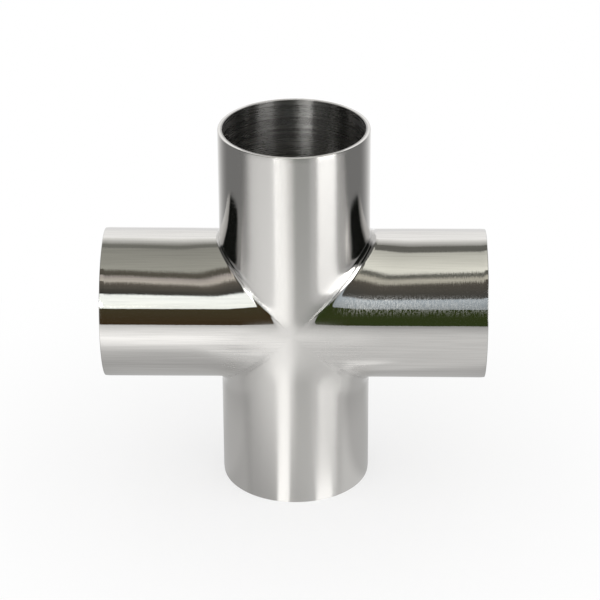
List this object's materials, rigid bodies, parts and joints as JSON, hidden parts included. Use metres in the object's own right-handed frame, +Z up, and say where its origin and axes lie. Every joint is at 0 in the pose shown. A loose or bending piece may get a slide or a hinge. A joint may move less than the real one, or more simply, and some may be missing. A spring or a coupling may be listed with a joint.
{
  "type": "sanitary cross",
  "caption": "Short polished cross fitting for tube: equal round legs at right angles, blended inside and out, with plain weld ends.",
  "frame": {"origin": "where the axes of the legs cross, at the centre of the fitting", "axes": "+Z up the upright run to its top end, +X along the right-hand branch, -Y towards the viewer"},
  "size_m": [0.097, 0.0382, 0.097],
  "materials": {
    "polished_stainless": "polished stainless steel with fine lines running round each leg"
  },
  "bodies": {
    "root": {"cross_body": "polished_stainless"}
  },
  "joints": []
}
